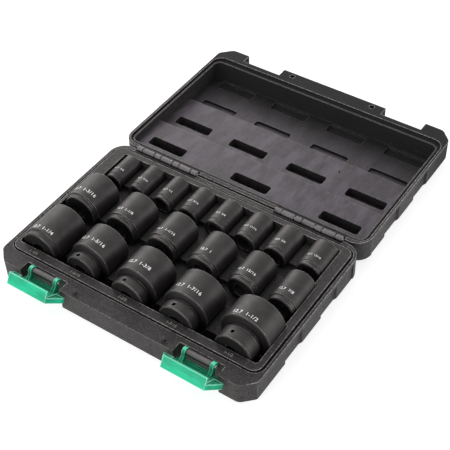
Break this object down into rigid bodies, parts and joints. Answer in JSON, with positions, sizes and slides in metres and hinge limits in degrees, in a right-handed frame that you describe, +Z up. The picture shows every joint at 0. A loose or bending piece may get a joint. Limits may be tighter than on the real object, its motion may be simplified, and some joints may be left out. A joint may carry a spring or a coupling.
{
  "type": "impact socket set in case",
  "caption": "Black impact sockets in three rows, each in its own seat in a hinged blow-moulded plastic case with two green latches, shown open.",
  "frame": {"origin": "centre of the base's flat underside, on the surface the open case lies on", "axes": "+X to the right along the lid's hinge, +Y from the latches towards the opened lid, +Z up"},
  "size_m": [0.3, 0.4263, 0.0564],
  "materials": {
    "case_plastic": "black moulded polyethylene, fine grain outside, smoother inside",
    "latch_plastic": "green injection-moulded polypropylene, satin",
    "pin_steel": "plain drawn wire, lightly oiled",
    "black_steel": "black phosphate and oil on forged alloy steel, bright on worn edges"
  },
  "bodies": {
    "base": {"base_case": "case_plastic", "hinge_pin_left": "pin_steel", "hinge_pin_right": "pin_steel", "latch_pin_left": "pin_steel", "latch_pin_right": "pin_steel"},
    "lid": {"lid_case": "case_plastic"},
    "latch_left": {"latch_left": "latch_plastic"},
    "latch_right": {"latch_right": "latch_plastic"},
    "socket_3_8": {"socket_3_8": "black_steel"},
    "socket_7_16": {"socket_7_16": "black_steel"},
    "socket_1_2": {"socket_1_2": "black_steel"},
    "socket_9_16": {"socket_9_16": "black_steel"},
    "socket_5_8": {"socket_5_8": "black_steel"},
    "socket_11_16": {"socket_11_16": "black_steel"},
    "socket_3_4": {"socket_3_4": "black_steel"},
    "socket_13_16": {"socket_13_16": "black_steel"},
    "socket_1_3_16": {"socket_1_3_16": "black_steel"},
    "socket_1_1_8": {"socket_1_1_8": "black_steel"},
    "socket_1_1_16": {"socket_1_1_16": "black_steel"},
    "socket_1": {"socket_1": "black_steel"},
    "socket_15_16": {"socket_15_16": "black_steel"},
    "socket_7_8": {"socket_7_8": "black_steel"},
    "socket_1_1_4": {"socket_1_1_4": "black_steel"},
    "socket_1_5_16": {"socket_1_5_16": "black_steel"},
    "socket_1_3_8": {"socket_1_3_8": "black_steel"},
    "socket_1_7_16": {"socket_1_7_16": "black_steel"},
    "socket_1_1_2": {"socket_1_1_2": "black_steel"}
  },
  "joints": [
    {"name": "lid_hinge", "type": "hinge", "parent": "base", "child": "lid", "pos_m": [0, 0.10215, 0.032], "axis": [-1, 0, 0], "range_deg": [-180, 0]},
    {"name": "latch_left_hinge", "type": "hinge", "parent": "base", "child": "latch_left", "pos_m": [-0.091, -0.09365, 0.0306], "axis": [1, 0, 0], "range_deg": [-60, 0]},
    {"name": "latch_right_hinge", "type": "hinge", "parent": "base", "child": "latch_right", "pos_m": [0.091, -0.09365, 0.0306], "axis": [1, 0, 0], "range_deg": [-60, 0]},
    {"name": "socket_3_8_lift", "type": "slide", "parent": "base", "child": "socket_3_8", "axis": [0, 0, 1], "range_m": [0, 0.06]},
    {"name": "socket_7_16_lift", "type": "slide", "parent": "base", "child": "socket_7_16", "axis": [0, 0, 1], "range_m": [0, 0.06]},
    {"name": "socket_1_2_lift", "type": "slide", "parent": "base", "child": "socket_1_2", "axis": [0, 0, 1], "range_m": [0, 0.06]},
    {"name": "socket_9_16_lift", "type": "slide", "parent": "base", "child": "socket_9_16", "axis": [0, 0, 1], "range_m": [0, 0.06]},
    {"name": "socket_5_8_lift", "type": "slide", "parent": "base", "child": "socket_5_8", "axis": [0, 0, 1], "range_m": [0, 0.06]},
    {"name": "socket_11_16_lift", "type": "slide", "parent": "base", "child": "socket_11_16", "axis": [0, 0, 1], "range_m": [0, 0.06]},
    {"name": "socket_3_4_lift", "type": "slide", "parent": "base", "child": "socket_3_4", "axis": [0, 0, 1], "range_m": [0, 0.06]},
    {"name": "socket_13_16_lift", "type": "slide", "parent": "base", "child": "socket_13_16", "axis": [0, 0, 1], "range_m": [0, 0.06]},
    {"name": "socket_1_3_16_lift", "type": "slide", "parent": "base", "child": "socket_1_3_16", "axis": [0, 0, 1], "range_m": [0, 0.06]},
    {"name": "socket_1_1_8_lift", "type": "slide", "parent": "base", "child": "socket_1_1_8", "axis": [0, 0, 1], "range_m": [0, 0.06]},
    {"name": "socket_1_1_16_lift", "type": "slide", "parent": "base", "child": "socket_1_1_16", "axis": [0, 0, 1], "range_m": [0, 0.06]},
    {"name": "socket_1_lift", "type": "slide", "parent": "base", "child": "socket_1", "axis": [0, 0, 1], "range_m": [0, 0.06]},
    {"name": "socket_15_16_lift", "type": "slide", "parent": "base", "child": "socket_15_16", "axis": [0, 0, 1], "range_m": [0, 0.06]},
    {"name": "socket_7_8_lift", "type": "slide", "parent": "base", "child": "socket_7_8", "axis": [0, 0, 1], "range_m": [0, 0.06]},
    {"name": "socket_1_1_4_lift", "type": "slide", "parent": "base", "child": "socket_1_1_4", "axis": [0, 0, 1], "range_m": [0, 0.06]},
    {"name": "socket_1_5_16_lift", "type": "slide", "parent": "base", "child": "socket_1_5_16", "axis": [0, 0, 1], "range_m": [0, 0.06]},
    {"name": "socket_1_3_8_lift", "type": "slide", "parent": "base", "child": "socket_1_3_8", "axis": [0, 0, 1], "range_m": [0, 0.06]},
    {"name": "socket_1_7_16_lift", "type": "slide", "parent": "base", "child": "socket_1_7_16", "axis": [0, 0, 1], "range_m": [0, 0.06]},
    {"name": "socket_1_1_2_lift", "type": "slide", "parent": "base", "child": "socket_1_1_2", "axis": [0, 0, 1], "range_m": [0, 0.06]}
  ]
}
